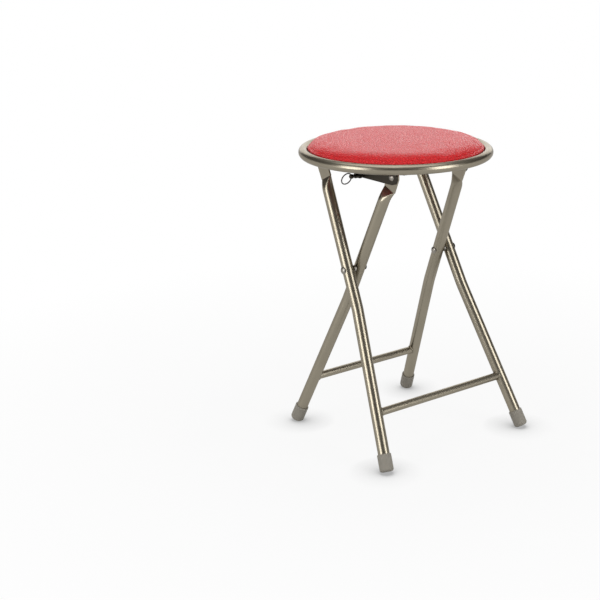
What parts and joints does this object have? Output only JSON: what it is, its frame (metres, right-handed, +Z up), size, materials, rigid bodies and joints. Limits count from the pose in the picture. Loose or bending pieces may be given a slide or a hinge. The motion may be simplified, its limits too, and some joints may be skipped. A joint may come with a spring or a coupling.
{
  "type": "folding stool",
  "caption": "Folding stool with a round padded seat in a steel tube hoop, crossed bent-tube leg frames, flat folding links and a spring lock pin with a pull ring.",
  "frame": {"origin": "on the floor under the middle of the open stool's outline", "axes": "+X to the right along the rivets, +Y to the back, towards the inner frame's feet, +Z up"},
  "size_m": [0.3024, 0.3054, 0.4695],
  "materials": {
    "tube_steel": "satin, grey with a warm cast",
    "seat_vinyl": "grained vinyl, satin",
    "foot_plastic": "matte moulded",
    "dark_steel": "black, semi-matte",
    "rivet_steel": "bright plated",
    "spring_steel": "bare wire",
    "board_wood": "raw plywood",
    "seat_foam": "open-cell foam"
  },
  "bodies": {
    "outer_frame": {"outer_leg_left": "tube_steel", "outer_leg_right": "tube_steel", "outer_crossbar": "tube_steel", "outer_foot_left": "foot_plastic", "outer_foot_right": "foot_plastic", "scissor_rivets": "rivet_steel", "scissor_spacers": "rivet_steel"},
    "seat": {"seat_ring": "tube_steel", "seat_rail_left": "dark_steel", "seat_rail_right": "dark_steel", "seat_board": "board_wood", "seat_foam": "seat_foam", "seat_cover": "seat_vinyl", "board_screws": "rivet_steel", "seat_pivot_rivets": "rivet_steel", "link_pivot_rivets": "rivet_steel", "lock_barrel": "dark_steel", "lock_spring": "spring_steel"},
    "inner_frame": {"inner_leg_left": "tube_steel", "inner_leg_right": "tube_steel", "inner_crossbar": "tube_steel", "inner_foot_left": "foot_plastic", "inner_foot_right": "foot_plastic", "inner_top_rivets": "rivet_steel"},
    "left_link": {"link_left": "dark_steel", "link_rivet_left": "rivet_steel"},
    "right_link": {"link_right": "dark_steel", "link_rivet_right": "rivet_steel"},
    "lock_pin": {"lock_pin": "dark_steel"},
    "pull_ring": {"pull_ring": "dark_steel"}
  },
  "joints": [
    {"name": "seat_fold", "type": "hinge", "parent": "outer_frame", "child": "seat", "pos_m": [0, 0.06854, 0.43], "axis": [-1, 0, 0], "range_deg": [0, 109.68]},
    {"name": "frame_scissor", "type": "hinge", "parent": "outer_frame", "child": "inner_frame", "pos_m": [0, -0.00625, 0.28], "axis": [-1, 0, 0], "range_deg": [0, 46.27]},
    {"name": "left_link_turn", "type": "hinge", "parent": "seat", "child": "left_link", "pos_m": [0, -0.0001, 0.43], "axis": [1, 0, 0], "range_deg": [0, 170.5]},
    {"name": "right_link_turn", "type": "hinge", "parent": "seat", "child": "right_link", "pos_m": [0, -0.0001, 0.43], "axis": [1, 0, 0], "range_deg": [0, 170.5]},
    {"name": "lock_pull", "type": "slide", "parent": "seat", "child": "lock_pin", "axis": [1, 0, 0], "range_m": [0, 0.0034], "stiffness_N_per_m": 200, "springref_m": 0.005, "deforming": ["lock_spring"]},
    {"name": "ring_swing", "type": "hinge", "parent": "lock_pin", "child": "pull_ring", "pos_m": [-0.0897, -0.0001, 0.422], "axis": [-0.2924, -0.3271, 0.8986], "range_deg": [-60, 60]}
  ],
  "couplings": [
    {"joint": "frame_scissor", "follows": "seat_fold", "ratio": 0.42182},
    {"joint": "left_link_turn", "follows": "seat_fold", "ratio": 1.5545},
    {"joint": "right_link_turn", "follows": "seat_fold", "ratio": 1.5545}
  ]
}
